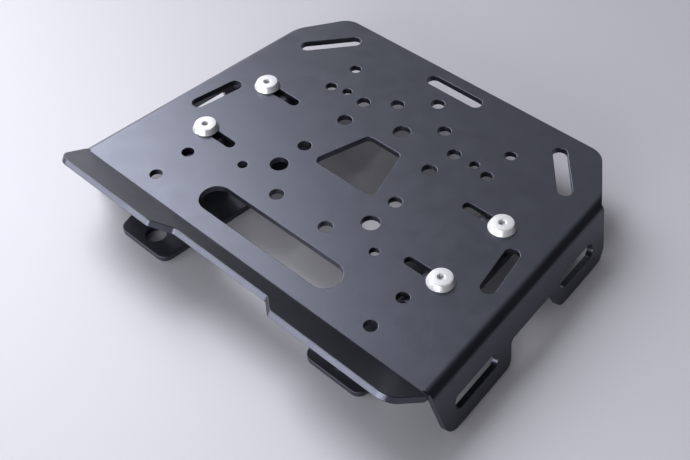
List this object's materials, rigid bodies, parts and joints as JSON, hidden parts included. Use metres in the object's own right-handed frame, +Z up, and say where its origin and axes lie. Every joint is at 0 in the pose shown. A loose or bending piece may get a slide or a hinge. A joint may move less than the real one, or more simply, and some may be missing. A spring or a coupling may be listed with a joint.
{
  "type": "motorcycle luggage rack",
  "caption": "Folded black deck with a turned-up lip, leaning slotted side flanges and a pattern of case holes, screwed to a pair of folded brackets with feet.",
  "frame": {"origin": "middle of the object's bounding box, on the ground it stands on", "axes": "+Z up; +X across the rack to the right; +Y along the rack, away from the lip"},
  "size_m": [0.3332, 0.253, 0.0555],
  "materials": {
    "deck_coat": "fine satin black powder coat",
    "bracket_coat": "black powder coat",
    "bright_steel": "bright stainless",
    "polished_aluminium": "turned and polished",
    "zinc_steel": "zinc plated"
  },
  "bodies": {
    "root": {"rack_plate": "deck_coat", "left_bracket": "bracket_coat", "right_bracket": "bracket_coat", "left_near_screw": "bright_steel", "left_near_cup_washer": "polished_aluminium", "left_near_washer": "zinc_steel", "left_near_nut": "zinc_steel", "left_far_screw": "bright_steel", "left_far_cup_washer": "polished_aluminium", "left_far_washer": "zinc_steel", "left_far_nut": "zinc_steel", "right_near_screw": "bright_steel", "right_near_cup_washer": "polished_aluminium", "right_near_washer": "zinc_steel", "right_near_nut": "zinc_steel", "right_far_screw": "bright_steel", "right_far_cup_washer": "polished_aluminium", "right_far_washer": "zinc_steel", "right_far_nut": "zinc_steel"}
  },
  "joints": []
}
